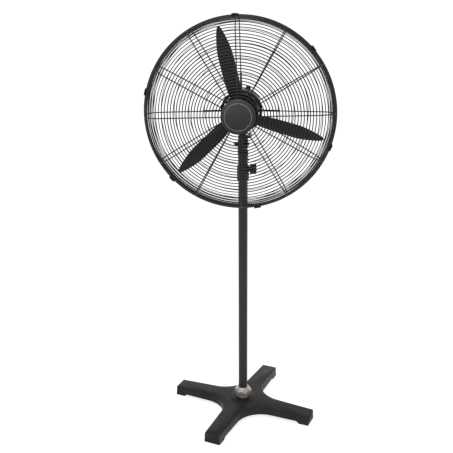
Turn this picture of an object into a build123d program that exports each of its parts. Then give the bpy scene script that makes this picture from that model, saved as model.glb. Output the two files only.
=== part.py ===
from build123d import *
from math import asin, cos, degrees, pi, radians, sin, sqrt, tan
import os

# Pedestal fan, 26 inch blade circle, as an assembly of separate pieces.
# Millimetres, +Z up. The origin is on the floor, on the pole's axis. The head faces -Y.

# ---- driving dimensions -------------------------------------------------------------

# cast base
LEG_TURN = -18.7              # direction of the first of four legs, degrees from +X
LEG_REACH = 316.0             # pole axis to the end of a leg
LEG_WIDTH = 69.0              # across the end of a leg at its underside
LEG_SPREAD = 9.0              # how much wider each side of a leg is at the pole's axis
LEG_DRAFT = 2.5               # draft of the side walls, degrees
LEG_FILLET = 112.0            # plan radius between two legs
HUB_TOP = 51.0
TIP_TOP = 44.0
FOOT_LENGTH = 39.0
FOOT_DROP = 10.0
FLOOR_GAP = 1.5               # casting to floor, made up by the rubber pads
CAST_WALL = 9.0
PAD_R = 14.0
PAD_HIGH = 7.0
BOSS_R = 59.0

# pole and clamp
BOLT_HEAD_TOP = 8.5
POLE_OD = 38.0
POLE_ID = 34.0
POLE_FOOT = 24.0
POLE_TOP = 1066.0
SOCKET_OD = 49.0
SOCKET_TOP = 80.0
NUT_FLATS = 64.0
NUT_LOW = 68.0
NUT_TOP = 102.0
NUT_BEVEL = 86.0              # the top is turned to a cone above this
NUT_SCREW_ANGLE = 210.0
SLEEVE_OD = 48.0
SLEEVE_LOW = 1036.0
SLEEVE_TOP = 1098.0
CLAMP_Z = 1082.0              # axis of the height knob
KNOB_R = 21.0
INNER_OD = 28.0
INNER_ID = 24.0
INNER_LOW = 660.0
INNER_TOP = 1140.0

# neck and tilt joint
NECK_LOW = 1099.0
NECK_OD = 39.0
NECK_SCREW_Z = 1120.0
CUP_OD = 43.0
CUP_TOP = 1162.0
TILT_Z = 1182.0
LUG_R = 18.0
BARREL_LOW = 1203.0
BARREL_TOP = 1234.0
BARREL_OD = 39.0
WAIST_R = 13.0                # the barrel is turned down where the swing link passes it
WAIST_LOW = 1216.5
WAIST_TOP = 1225.5
SWIVEL_PIN_R = 7.0
SWIVEL_PIN_TOP = 1262.0

# head
HEAD_Z = 1325.0               # height of the motor axis
RIM_Y = -163.4                # middle plane of the front guard's edge wire
MOTOR_R = 62.0
MOTOR_BORE = 56.0
MOTOR_FRONT = -62.0
MOTOR_REAR = 48.0
SHIELD = 11.0                 # thickness of a motor end shield
SHAFT_R = 6.0
COVER_REAR = 128.0
COVER_WALL = 2.5

# guards
RIM_R = 360.0
RIM_WIDTH = 10.5
BAND_DEPTH = 16.0
EDGE_WIRE_R = 2.5
EDGE_R = 353.6                # radius of both edge wires
PAN_FLAT_R = 290.0            # the front guard is flat out to here
PAN_ELBOW_R = 72.0
PAN_ELBOW = 62.0              # degrees turned by the front guard's shoulder
RING_WIRE_R = 2.0
FIRST_RING = 74.3
RING_PITCH = 11.08
RING_COUNT = 27
INNER_RING_COUNT = 13
RIB_WIRE_R = 2.1
RIB_COUNT = 12
FRONT_RIB_TURN = 1.8
REAR_RIB_TURN = 0.8
REAR_ELBOW_R = 46.0
REAR_ELBOW = 82.0
PLATE_R = 80.0
STRUT_RING = 141.0
REAR_RINGS = (STRUT_RING, 200.0, 255.0, 305.0)
SIDE_RING_PITCH = 6.4
SIDE_RING_COUNT = 7
BADGE_R = 65.0
CLIP_ANGLES = (42.0, 92.4, 166.8, 223.7, 281.3, 340.8)
CLIP_WIDTH = 25.0

# blades
BLADE_Y = -138.0
BLADE_ANGLES = (104.0, 224.0, 344.0)
BLADE_THICK = 1.8
ARM_THICK = 5.0
ROOT_PITCH = 33.0
# radius, chord, pitch in degrees, camber
BLADE_STATIONS = (
    (56.0, 44.0, ROOT_PITCH, 0.2),
    (76.0, 51.5, ROOT_PITCH, 0.2),
    (96.0, 58.0, ROOT_PITCH, 0.2),
    (114.0, 60.0, 31.8, 0.9),
    (140.0, 60.5, 29.0, 3.0),
    (190.0, 59.5, 25.5, 4.5),
    (235.0, 56.0, 22.5, 4.5),
    (272.0, 43.0, 20.0, 3.2),
    (304.0, 26.5, 18.5, 1.6),
    (326.0, 7.0, 18.0, 0.4),
)

# swing linkage and gears
CRANK_Y = 82.0
CRANK_R = 19.75
EAR_X = 28.0
LINK_END_X = 29.78
LINK_Z = 1219.0
LINK_THICK = 4.0
GEAR_MODULE = 0.8
PINION_TEETH = 12
GEAR_TEETH = 52
WHEEL_X = 16.0
WHEEL_R = 11.2
WORM_R = 4.5

CLEAR = 0.3                   # between pieces that move past each other
RUN = 0.05                    # radial clearance of a running fit


# ---- shared shapes ------------------------------------------------------------------

def along(start, end):
    """A plane at start whose normal points to end."""
    start, end = Vector(*start), Vector(*end)
    return Plane(origin=start, z_dir=end - start)


def rod(radius, start, end):
    length = (Vector(*end) - Vector(*start)).length
    low = (Align.CENTER, Align.CENTER, Align.MIN)
    return along(start, end) * Cylinder(radius, length, align=low)


def tube(outer, inner, start, end):
    return rod(outer, start, end) - rod(inner, start, end)


def upright(radius, low, high, x=0.0, y=0.0):
    return rod(radius, (x, y, low), (x, y, high))


def block(x0, x1, y0, y1, z0, z1):
    centre = ((x0 + x1) / 2, (y0 + y1) / 2, (z0 + z1) / 2)
    return Pos(*centre) * Box(x1 - x0, y1 - y0, z1 - z0)


def turned_upright(points):
    """A solid of revolution about the pole axis from (radius, z) points."""
    outline = make_face(Polyline(*[(r, 0, z) for r, z in points], close=True))
    return revolve(outline, Axis.Z)


HEAD_AXIS = Axis((0, 0, HEAD_Z), (0, -1, 0))


def head_point(radius, y, angle=0.0):
    a = radians(angle)
    return (radius * cos(a), y, HEAD_Z + radius * sin(a))


def head_rod(radius, y0, y1, at_r=0.0, angle=0.0):
    return rod(radius, head_point(at_r, y0, angle), head_point(at_r, y1, angle))


def turned_head(points):
    """A solid of revolution about the motor axis from (radius, y) points."""
    outline = make_face(Polyline(*[(r, y, HEAD_Z) for r, y in points], close=True))
    return revolve(outline, HEAD_AXIS)


def wire_ring(radius, y, wire):
    return Plane(origin=(0, y, HEAD_Z), z_dir=(0, -1, 0)) * Torus(radius, wire)


def around_head(shape, angle):
    """Turn a shape about the motor axis, counter-clockwise as seen from the front."""
    return shape.rotate(HEAD_AXIS, angle)


def wire_along(path, radius):
    start = path @ 0
    return sweep(Plane(origin=start, z_dir=path % 0) * Circle(radius), path=path)


def hexagon(flats, low, high):
    return extrude(Pos(0, 0, low) * RegularPolygon(flats / 2, 6, major_radius=False), high - low)


def toothed(teeth, low, high, x, y, turn=0.0):
    """A spur gear of GEAR_MODULE as a root disc with straight-sided teeth."""
    pitch_r = GEAR_MODULE * teeth / 2
    root_r = pitch_r - 1.1 * GEAR_MODULE
    tip_r = pitch_r + 0.7 * GEAR_MODULE
    tooth_w = 0.38 * pi * GEAR_MODULE
    tooth = Pos((root_r + tip_r) / 2 - 0.2, 0, 0) * Rectangle(tip_r - root_r + 0.4, tooth_w)
    outline = Circle(root_r)
    for k in range(teeth):
        outline += Rot(0, 0, turn + 360 * k / teeth) * tooth
    return extrude(Pos(x, y, low) * outline, high - low)


# ---- base ---------------------------------------------------------------------------

def leg_cross(half_width, reach, fillet_r):
    root = half_width + LEG_SPREAD
    bar = make_face(Polyline((-reach, -half_width), (0, -root), (reach, -half_width),
                             (reach, half_width), (0, root), (-reach, half_width), close=True))
    cross = bar + Rot(0, 0, 90) * bar
    inner = [v for v in cross.vertices() if abs(abs(v.X) - abs(v.Y)) < 1e-3]
    return Rot(0, 0, LEG_TURN) * fillet(inner, fillet_r)


def make_base_casting():
    low = FLOOR_GAP
    body = extrude(Pos(0, 0, low) * leg_cross(LEG_WIDTH / 2, LEG_REACH, LEG_FILLET),
                   HUB_TOP - low, taper=LEG_DRAFT)
    slope = turned_upright([(0, low), (LEG_REACH + 20, low), (LEG_REACH + 20, TIP_TOP),
                            (LEG_REACH, TIP_TOP), (BOSS_R + 10, HUB_TOP), (0, HUB_TOP)])
    body = body & slope
    top_edges = body.edges().filter_by(lambda e: e.center().Z > TIP_TOP - 4)
    body = fillet(top_edges, 3.0)
    foot_in = LEG_REACH - FOOT_LENGTH
    under = low + FOOT_DROP
    body -= turned_upright([(0, 0), (foot_in, 0), (foot_in, low), (foot_in - 12, under), (0, under)])
    pocket = extrude(Pos(0, 0, under) * leg_cross(LEG_WIDTH / 2 - CAST_WALL, foot_in - 18,
                                                  LEG_FILLET + CAST_WALL - 3), 20, taper=LEG_DRAFT)
    pocket -= upright(42, under, under + 30)
    body -= pocket
    boss = turned_upright([(0, HUB_TOP - 2), (BOSS_R, HUB_TOP - 2), (BOSS_R - 1.5, HUB_TOP + 1.5),
                           (BOSS_R - 4, HUB_TOP + 2.5), (0, HUB_TOP + 2.5)])
    body += boss
    body -= upright(SOCKET_OD / 2, under - 1, HUB_TOP + 10)
    for k in range(4):
        x, y = foot_centre(k)
        body -= upright(PAD_R, low - 1, PAD_HIGH, x, y)
    return body


def foot_centre(k):
    a = radians(LEG_TURN + 90 * k)
    reach = LEG_REACH - FOOT_LENGTH / 2
    return reach * cos(a), reach * sin(a)


def make_foot_pads():
    return [upright(PAD_R, 0, PAD_HIGH, *foot_centre(k)) for k in range(4)]


def make_base_socket():
    under = FLOOR_GAP + FOOT_DROP
    body = upright(SOCKET_OD / 2, under, SOCKET_TOP)
    body -= upright(POLE_OD / 2, POLE_FOOT, SOCKET_TOP)
    return body - upright(6.5, under, POLE_FOOT)


def make_lock_nut():
    across = NUT_FLATS / cos(radians(30)) / 2
    body = hexagon(NUT_FLATS, NUT_LOW, NUT_TOP)
    body = body & turned_upright([(0, NUT_LOW), (across - 2, NUT_LOW), (across, NUT_LOW + 2),
                                  (across, NUT_BEVEL), (POLE_OD / 2 + 4, NUT_TOP), (0, NUT_TOP)])
    body -= upright(SOCKET_OD / 2, NUT_LOW, SOCKET_TOP + 1)
    body -= upright(POLE_OD / 2, NUT_LOW, NUT_TOP)
    return body - nut_screw_rod(3.0, POLE_OD / 2 - 1, NUT_FLATS / 2 + 2)


def nut_screw_rod(radius, deep, out):
    """A rod square to one flat of the nut, between two distances from the pole's axis."""
    a = radians(NUT_SCREW_ANGLE)
    z = NUT_LOW + 15.0
    return rod(radius, (deep * cos(a), deep * sin(a), z), (out * cos(a), out * sin(a), z))


def make_lock_nut_screw():
    out = NUT_FLATS / 2 - 2.0
    return nut_screw_rod(3.0, POLE_OD / 2 + 0.05, out) - nut_screw_rod(1.5, out - 4, out)


def make_base_washer():
    under = FLOOR_GAP + FOOT_DROP
    return upright(30, BOLT_HEAD_TOP, under) - upright(6.5, BOLT_HEAD_TOP, under)


def make_base_bolt():
    return hexagon(19, 2.0, BOLT_HEAD_TOP) + upright(6, BOLT_HEAD_TOP, 56)


def make_pole_plug():
    return upright(POLE_ID / 2, 30, 52) - upright(6, 30, 52)


def make_lower_pole():
    return upright(POLE_OD / 2, POLE_FOOT, POLE_TOP) - upright(POLE_ID / 2, POLE_FOOT, POLE_TOP)


def make_clamp_sleeve():
    body = turned_upright([(0, SLEEVE_LOW), (SLEEVE_OD / 2 - 1.5, SLEEVE_LOW),
                           (SLEEVE_OD / 2, SLEEVE_LOW + 1.5), (SLEEVE_OD / 2, SLEEVE_TOP - 3),
                           (SLEEVE_OD / 2 - 3, SLEEVE_TOP), (0, SLEEVE_TOP)])
    body += rod(10, (10, 0, CLAMP_Z), (SLEEVE_OD / 2 + 1.5, 0, CLAMP_Z))
    body -= upright(POLE_OD / 2, SLEEVE_LOW, POLE_TOP)
    body -= upright(POLE_ID / 2, POLE_TOP, SLEEVE_TOP)
    return body - rod(5.1, (0, 0, CLAMP_Z), (40, 0, CLAMP_Z))


def make_guide_bush():
    body = upright(POLE_ID / 2, POLE_TOP - 40, SLEEVE_TOP)
    body -= upright(INNER_OD / 2 + RUN, POLE_TOP - 40, SLEEVE_TOP)
    return body - rod(5.6, (0, 0, CLAMP_Z), (40, 0, CLAMP_Z))


# ---- height knob --------------------------------------------------------------------

KNOB_X0 = SLEEVE_OD / 2 + 1.5 + CLEAR
KNOB_X1 = KNOB_X0 + 28


def make_height_knob():
    plane = Plane(origin=(KNOB_X0, 0, CLAMP_Z), z_dir=(1, 0, 0))
    lobes = Circle(KNOB_R - 4)
    for k in range(6):
        lobes += Rot(0, 0, 60 * k) * Pos(KNOB_R - 6, 0) * Circle(6)
    neck = 3.0
    grip = extrude(plane * Pos(0, 0, neck) * lobes, KNOB_X1 - KNOB_X0 - neck)
    grip = chamfer(grip.faces().sort_by(Axis.X)[-1].edges(), 3.0)
    body = grip + rod(10, (KNOB_X0, 0, CLAMP_Z), (KNOB_X0 + neck + 1, 0, CLAMP_Z))
    return body - rod(5, (KNOB_X0, 0, CLAMP_Z), (KNOB_X0 + 18, 0, CLAMP_Z))


def make_height_knob_stud():
    return rod(5, (INNER_OD / 2 + CLEAR, 0, CLAMP_Z), (KNOB_X0 + 18, 0, CLAMP_Z))


# ---- sliding mast and neck ----------------------------------------------------------

def make_inner_tube():
    return upright(INNER_OD / 2, INNER_LOW, INNER_TOP) - upright(INNER_ID / 2, INNER_LOW, INNER_TOP)


def make_tube_glide():
    skirt = upright(POLE_ID / 2 - RUN, INNER_LOW - 12, INNER_LOW)
    return skirt + upright(INNER_ID / 2, INNER_LOW, INNER_LOW + 30)


def make_neck_casting():
    r, cup = NECK_OD / 2, CUP_OD / 2
    body = turned_upright([(0, NECK_LOW), (r - 1, NECK_LOW), (r, NECK_LOW + 1), (r, NECK_LOW + 30),
                           (cup - 2, NECK_LOW + 36), (cup, NECK_LOW + 39), (cup, CUP_TOP - 6),
                           (cup - 2, CUP_TOP - 2), (cup - 5, CUP_TOP), (0, CUP_TOP)])
    lug_x0, lug_x1 = -NECK_OD / 2, -CLEAR
    lug = rod(LUG_R, (lug_x0, 0, TILT_Z), (lug_x1, 0, TILT_Z))
    lug += block(lug_x0, lug_x1, -LUG_R, LUG_R, CUP_TOP - 4, TILT_Z)
    body += lug
    body -= upright(INNER_OD / 2, NECK_LOW, INNER_TOP)
    body -= rod(4, (-40, 0, TILT_Z), (40, 0, TILT_Z))
    return body - rod(2.5, (13, 0, NECK_SCREW_Z), (40, 0, NECK_SCREW_Z))


def make_neck_screw():
    out = NECK_OD / 2
    head = rod(4.5, (out, 0, NECK_SCREW_Z), (out + 5, 0, NECK_SCREW_Z))
    return head + rod(2.5, (INNER_OD / 2, 0, NECK_SCREW_Z), (out, 0, NECK_SCREW_Z))


def make_tilt_bolt():
    head_plane = Plane(origin=(NECK_OD / 2, 0, TILT_Z), z_dir=(1, 0, 0))
    head = extrude(head_plane * RegularPolygon(6.5, 6, major_radius=False), 6)
    return head + rod(4, (-36, 0, TILT_Z), (NECK_OD / 2, 0, TILT_Z))


def make_tilt_lever():
    x1 = -NECK_OD / 2 - CLEAR
    x0 = x1 - 12
    hub = rod(9, (x0, 0, TILT_Z), (x1, 0, TILT_Z))
    arm = rod(3.2, (x0 + 5, 5, TILT_Z), (x0 - 4, 44, TILT_Z - 6))
    tip = rod(5.5, (x0 - 2.5, 38, TILT_Z - 5), (x0 - 6, 53, TILT_Z - 7.4))
    return hub + arm + tip - rod(4 + RUN, (-60, 0, TILT_Z), (0, 0, TILT_Z))


# ---- tilt bracket -------------------------------------------------------------------

def make_tilt_bracket():
    x0, x1 = CLEAR, NECK_OD / 2 - CLEAR
    body = rod(LUG_R, (x0, 0, TILT_Z), (x1, 0, TILT_Z))
    body += block(x0, x1, -LUG_R + 3, LUG_R - 3, TILT_Z, BARREL_LOW + 6)
    body += turned_upright([(0, BARREL_LOW), (BARREL_OD / 2 - 3, BARREL_LOW),
                            (BARREL_OD / 2, BARREL_LOW + 3), (BARREL_OD / 2, WAIST_LOW),
                            (WAIST_R, WAIST_LOW + 1), (WAIST_R, WAIST_TOP - 1),
                            (BARREL_OD / 2, WAIST_TOP), (BARREL_OD / 2, BARREL_TOP - 2),
                            (BARREL_OD / 2 - 2, BARREL_TOP), (0, BARREL_TOP)])
    ear = block(10, EAR_X, -6, 6, 1207, 1216) + upright(6, 1207, 1216, EAR_X)
    body += ear
    body -= upright(SWIVEL_PIN_R + 2, BARREL_LOW + 3, BARREL_TOP + 1)
    body -= upright(2.5, 1207, 1216, EAR_X)
    return body - rod(4 + RUN, (-40, 0, TILT_Z), (40, 0, TILT_Z))


def make_swivel_bush():
    low = BARREL_LOW + 3
    return upright(SWIVEL_PIN_R + 2, low, BARREL_TOP) - upright(SWIVEL_PIN_R + RUN, low, BARREL_TOP)


def make_ear_pin():
    return upright(2.5, 1207, 1225.5, EAR_X) + upright(3.6, 1225.5, 1227, EAR_X)


# ---- swing link, crank and gears ----------------------------------------------------

CRANK_LOW = LINK_Z + LINK_THICK + CLEAR
CRANK_HIGH = CRANK_LOW + 5
GEAR_LOW = 1303.0


def make_link_bar():
    low, high = LINK_Z, LINK_Z + LINK_THICK
    near = (CRANK_R, CRANK_Y)
    far = (LINK_END_X, 0.0)
    dx, dy = far[0] - near[0], far[1] - near[1]
    length = sqrt(dx * dx + dy * dy)
    middle = Pos((near[0] + far[0]) / 2, (near[1] + far[1]) / 2, low)
    bar = extrude(middle * Rot(0, 0, degrees(asin(dx / length)) + 90) * Rectangle(length, 9), high - low)
    bar += upright(7, low, high, *near) + upright(8.5, low, high, *far)
    bar -= upright(3 + RUN, low, high, *near)
    return bar - upright(4.8, low, high, *far)


def make_crank():
    body = upright(CRANK_R + 6, CRANK_LOW, CRANK_HIGH, 0, CRANK_Y)
    body += upright(4, CRANK_HIGH, GEAR_LOW + 14, 0, CRANK_Y)
    body += upright(3, LINK_Z - CLEAR, CRANK_LOW, CRANK_R, CRANK_Y)
    return body + upright(5, LINK_Z - 2, LINK_Z - CLEAR, CRANK_R, CRANK_Y)


def make_crank_gear():
    body = toothed(GEAR_TEETH, GEAR_LOW, GEAR_LOW + 7, 0, CRANK_Y)
    return body - upright(4, GEAR_LOW, GEAR_LOW + 7, 0, CRANK_Y)


WHEEL_Y = CRANK_Y - sqrt((GEAR_MODULE * (PINION_TEETH + GEAR_TEETH) / 2) ** 2 - WHEEL_X ** 2)


def make_worm_wheel():
    x, y = WHEEL_X, WHEEL_Y
    body = upright(WHEEL_R, HEAD_Z - 4, HEAD_Z + 4, x, y)
    for k in range(24):
        a = 2 * pi * k / 24
        body -= upright(0.7, HEAD_Z - 4, HEAD_Z + 4, x + WHEEL_R * cos(a), y + WHEEL_R * sin(a))
    mesh_angle = degrees(asin((CRANK_Y - y) / (GEAR_MODULE * (PINION_TEETH + GEAR_TEETH) / 2)))
    gear_gap = 180 - mesh_angle
    half_tooth = 180 / PINION_TEETH
    gear_phase = ((-mesh_angle) % (360 / GEAR_TEETH)) / (360 / GEAR_TEETH)
    turn = gear_gap + half_tooth + gear_phase * 360 / PINION_TEETH
    body += toothed(PINION_TEETH, GEAR_LOW + CLEAR, GEAR_LOW + 7 - CLEAR, x, y, turn)
    return body + upright(2.5, CASE_LOW + CASE_WALL + CLEAR, HEAD_Z + 14, x, y)


# ---- motor --------------------------------------------------------------------------

def make_motor_housing():
    front, rear = MOTOR_FRONT + SHIELD, MOTOR_REAR - SHIELD
    body = head_rod(MOTOR_R, front, rear)
    body += upright(20, BARREL_TOP + CLEAR, HEAD_Z - MOTOR_BORE - 2)
    for k in range(24):
        angle = 15 * k + 7.5
        if 235 < angle < 305:
            continue
        fin = block(MOTOR_R - 1, MOTOR_R + 3, front + 8, rear - 8, HEAD_Z - 1.2, HEAD_Z + 1.2)
        body += around_head(fin, angle)
    body -= head_rod(MOTOR_BORE, front, rear)
    return body - upright(SWIVEL_PIN_R, BARREL_TOP, SWIVEL_PIN_TOP)


def make_swivel_pin():
    return upright(SWIVEL_PIN_R, BARREL_LOW + 3 + CLEAR, SWIVEL_PIN_TOP)


BEARING_R = 16.0
SCREW_RING = 50.0


def end_shield(outer_y, inner_y):
    body = head_rod(MOTOR_R, outer_y, inner_y)
    middle = (outer_y + inner_y) / 2
    body -= head_rod(BEARING_R, middle, inner_y)
    return body - head_rod(SHAFT_R + 1, outer_y, inner_y)


def make_motor_front_shield():
    body = end_shield(MOTOR_FRONT, MOTOR_FRONT + SHIELD)
    for k in range(4):
        body -= head_rod(2, MOTOR_FRONT - 1, MOTOR_FRONT + SHIELD + 1, SCREW_RING, 45 + 90 * k)
        body += head_rod(5, PLATE_BACK, MOTOR_FRONT, 36, 90 * k)
        body -= head_rod(2, PLATE_BACK, MOTOR_FRONT + 6, 36, 90 * k)
    return body


def make_motor_rear_shield():
    body = end_shield(MOTOR_REAR, MOTOR_REAR - SHIELD)
    for k in range(4):
        body -= head_rod(2, MOTOR_REAR + 1, MOTOR_REAR - SHIELD - 1, SCREW_RING, 45 + 90 * k)
    return body


def make_shield_screws():
    screws = []
    for face, inward in ((MOTOR_FRONT, 1), (MOTOR_REAR, -1)):
        for k in range(4):
            shank = head_rod(2, face, face + inward * SHIELD, SCREW_RING, 45 + 90 * k)
            head = head_rod(4, face - inward * 2.4, face, SCREW_RING, 45 + 90 * k)
            screws.append(shank + head)
    return screws


def make_shaft_bearings():
    front, rear = MOTOR_FRONT + SHIELD, MOTOR_REAR - SHIELD
    return [bearing_ring(front - SHIELD / 2, front), bearing_ring(rear, rear + SHIELD / 2)]


def bearing_ring(y0, y1):
    body = tube(BEARING_R, SHAFT_R + RUN, head_point(0, y0), head_point(0, y1))
    for face, inward in ((y0, 1), (y1, -1)):
        body -= tube(13.5, 9.5, head_point(0, face), head_point(0, face + 0.8 * inward))
    return body


STACK = 25.0                  # half length of the stator stack


def make_stator_core():
    body = tube(MOTOR_BORE, 32.0, head_point(0, -STACK), head_point(0, STACK))
    for k in range(24):
        slot = block(31, 46, -STACK - 1, STACK + 1, HEAD_Z - 1.6, HEAD_Z + 1.6)
        body -= around_head(slot, 15 * k)
    return body


def make_stator_windings():
    coils = []
    for side in (-1, 1):
        y0, y1 = side * STACK, side * (STACK + 10)
        outline = [(36, y0), (51, y0), (52, y0 + side * 3), (49, y1), (39, y1), (35, y0 + side * 4)]
        coils.append(turned_head(outline))
    return coils


# ---- rotor --------------------------------------------------------------------------

SHAFT_FRONT = BLADE_Y - 20
WORM_Y0, WORM_Y1 = 54.0, 70.0


def make_motor_shaft():
    body = head_rod(SHAFT_R, SHAFT_FRONT, MOTOR_REAR + 2)
    body += head_rod(WORM_R - 1.0, MOTOR_REAR + 2, WORM_Y1)
    pitch = 3.2
    turns = int((WORM_Y1 - WORM_Y0) / pitch)
    for k in range(turns):
        y = WORM_Y0 + (k + 0.5) * pitch
        body += turned_head([(WORM_R - 1.4, y - 1.2), (WORM_R, y - 0.5), (WORM_R, y + 0.5),
                             (WORM_R - 1.4, y + 1.2)])
    return body


def make_rotor_core():
    body = tube(31.4, SHAFT_R, head_point(0, -STACK), head_point(0, STACK))
    for y0, y1 in ((-STACK - 5, -STACK), (STACK, STACK + 5)):
        body += tube(30, 20, head_point(0, y0), head_point(0, y1))
    return body


HUB_R = 32.0
HUB_FRONT = BLADE_Y - 13
HUB_REAR = BLADE_Y + 15
ARM_END = 92.0
RIVETS = ((64.0, -8.0), (64.0, 8.0), (84.0, 0.0))


def root_plane(radius):
    """At a radius on an upright blade: x along the pitched chord, y across it, z outwards."""
    p = radians(ROOT_PITCH)
    return Plane(origin=(0, BLADE_Y, HEAD_Z + radius), x_dir=(cos(p), sin(p), 0), z_dir=(0, 0, 1))


def rivet_rod(radius, across, size, low, high):
    plane = root_plane(radius)
    start = plane.from_local_coords(Vector(across, low, 0))
    end = plane.from_local_coords(Vector(across, high, 0))
    return rod(size, tuple(start), tuple(end))


BLADE_OFFSET = -(ARM_THICK / 2 + BLADE_THICK / 2 + 0.45)


def blade_section(radius, chord, pitch, camber):
    p = radians(pitch)
    plane = Plane(origin=(0, BLADE_Y, HEAD_Z + radius), x_dir=(cos(p), sin(p), 0), z_dir=(0, 0, 1))
    half, t = chord / 2, BLADE_THICK / 2
    base = BLADE_OFFSET
    low = ThreePointArc((-half, base - t), (0, base - t - camber), (half, base - t))
    high = ThreePointArc((half, base + t), (0, base + t - camber), (-half, base + t))
    sides = [Line(low @ 1, high @ 0), Line(high @ 1, low @ 0)]
    return plane * make_face([low, sides[0], high, sides[1]])


def upright_blade():
    body = loft([blade_section(*station) for station in BLADE_STATIONS])
    for radius, across in RIVETS:
        body -= rivet_rod(radius, across, 2.5, -20, 20)
    return body


def make_blade(index):
    return around_head(upright_blade(), BLADE_ANGLES[index] - 90)


def make_blade_hub():
    body = head_rod(HUB_R, HUB_FRONT, HUB_REAR)
    for angle in BLADE_ANGLES:
        plane = root_plane(0)
        arm = plane * Pos(0, 0, (22 + ARM_END) / 2) * Box(34, ARM_THICK, ARM_END - 22)
        for radius, across in RIVETS:
            arm -= rivet_rod(radius, across, 2.5, -20, 20)
        body += around_head(arm, angle - 90)
    for angle in BLADE_ANGLES:
        keep_out = root_plane(0) * Pos(0, BLADE_OFFSET, 74) * Box(64, BLADE_THICK + 0.6, 42)
        body -= around_head(keep_out, angle - 90)
    body -= head_rod(SHAFT_R, HUB_FRONT - 1, HUB_REAR + 1)
    return body - set_screw_rod(2.5, HUB_R + 1)


def set_screw_rod(radius, outer):
    return rod(radius, head_point(SHAFT_R, HUB_REAR - 7, 44), head_point(outer, HUB_REAR - 7, 44))


def make_hub_set_screw():
    return set_screw_rod(2.5, HUB_R - 2)


def make_blade_rivets():
    rivets = []
    back = ARM_THICK / 2
    front = BLADE_OFFSET - BLADE_THICK / 2 - 0.6
    for angle in BLADE_ANGLES:
        for radius, across in RIVETS:
            rivet = rivet_rod(radius, across, 2.5, front, back)
            rivet += rivet_rod(radius, across, 5.0, front - 2.0, front)
            rivet += rivet_rod(radius, across, 4.5, back, back + 1.6)
            rivets.append(around_head(rivet, angle - 90))
    return rivets


# ---- gearbox and rear cover ---------------------------------------------------------

CASE_WALL = 2.5
CASE_LOW = 1290.0
CASE_TOP = 1336.0
CASE_X0, CASE_X1 = -30.0, 33.0
CASE_Y0, CASE_Y1 = MOTOR_REAR, 109.0


def make_gearbox_case():
    body = block(CASE_X0, CASE_X1, CASE_Y0, CASE_Y1, CASE_LOW, CASE_TOP)
    w = CASE_WALL
    body -= block(CASE_X0 + w, CASE_X1 - w, CASE_Y0 + w, CASE_Y1 - w, CASE_LOW + w, CASE_TOP)
    body -= head_rod(SHAFT_R + 1, CASE_Y0 - 1, CASE_Y0 + w + 1)
    body += upright(9, CASE_LOW - 6, CASE_LOW + w, 0, CRANK_Y)
    body -= upright(4 + RUN, CASE_LOW - 6, CASE_LOW + w, 0, CRANK_Y)
    for k in (0, 1, 3):
        head_gap = head_rod(4.3, CASE_Y0 - 1, CASE_Y0 + 2.7, SCREW_RING, 45 + 90 * k)
        body -= head_gap
    return body


def make_gearbox_lid():
    body = block(CASE_X0, CASE_X1, CASE_Y0, CASE_Y1, CASE_TOP, CASE_TOP + 3)
    body += upright(6, CASE_TOP + 3, CASE_TOP + 9, WHEEL_X, WHEEL_Y)
    return body - upright(2.5 + RUN, CASE_TOP, CASE_TOP + 9, WHEEL_X, WHEEL_Y)


KNOB_ROD_LOW = HEAD_Z + 14 + CLEAR
SPEED_X, SPEED_Z = -18.0, 1351.0
GLAND_X, GLAND_Z = -28.0, 1291.0
COVER_SCREWS = ((24.0, 1298.0), (24.0, 1330.0))


def make_rear_cover():
    body = head_rod(MOTOR_R, MOTOR_REAR, COVER_REAR)
    body = fillet(body.faces().sort_by(Axis.Y)[-1].edges(), 16)
    cavity = head_rod(MOTOR_R - COVER_WALL, MOTOR_REAR, COVER_REAR - COVER_WALL)
    cavity = fillet(cavity.faces().sort_by(Axis.Y)[-1].edges(), 13.5)
    body -= cavity
    body -= upright(13, HEAD_Z - MOTOR_R - 5, HEAD_Z - 40, 0, CRANK_Y)
    body -= upright(3.5, HEAD_Z + 30, HEAD_Z + MOTOR_R + 5, WHEEL_X, WHEEL_Y)
    body -= rod(4, (SPEED_X, 110, SPEED_Z), (SPEED_X, 140, SPEED_Z))
    body -= rod(7, (GLAND_X, 110, GLAND_Z), (GLAND_X, 140, GLAND_Z))
    for x, z in COVER_SCREWS:
        body -= rod(2, (x, 110, z), (x, 140, z))
    for k in range(5):
        z = HEAD_Z - 26 + 7 * k
        body -= block(-MOTOR_R - 1, -MOTOR_R + 8, 66, 100, z, z + 3)
    return body


def make_cover_screws():
    screws = []
    for x, z in COVER_SCREWS:
        shank = rod(2, (x, CASE_Y1, z), (x, COVER_REAR, z))
        screws.append(shank + rod(4.2, (x, COVER_REAR, z), (x, COVER_REAR + 2.4, z)))
    return screws


def make_capacitor():
    body = block(-51, -32, 54, 96, 1306, 1344)
    return fillet(body.edges().filter_by(Axis.Y), 3)


def make_speed_switch():
    y1 = COVER_REAR - COVER_WALL
    return block(SPEED_X - 10, SPEED_X + 10, y1 - 20, y1, SPEED_Z - 10, SPEED_Z + 10)


def make_cord_gland():
    y0 = COVER_REAR - COVER_WALL - 6
    body = rod(7, (GLAND_X, y0, GLAND_Z), (GLAND_X, COVER_REAR, GLAND_Z))
    body += rod(10, (GLAND_X, COVER_REAR, GLAND_Z), (GLAND_X, COVER_REAR + 7, GLAND_Z))
    body += rod(7.5, (GLAND_X, COVER_REAR + 7, GLAND_Z), (GLAND_X, COVER_REAR + 14, GLAND_Z))
    return body - rod(4, (GLAND_X, y0, GLAND_Z), (GLAND_X, COVER_REAR + 14, GLAND_Z))


def make_swing_knob():
    x, y = WHEEL_X, WHEEL_Y
    top = HEAD_Z + MOTOR_R + 1
    body = upright(2.5, KNOB_ROD_LOW, top, x, y)
    cap = turned_upright([(0, top), (7, top), (10, top + 5), (10, top + 12), (8, top + 15), (0, top + 15)])
    return body + Pos(x, y, 0) * cap


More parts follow.
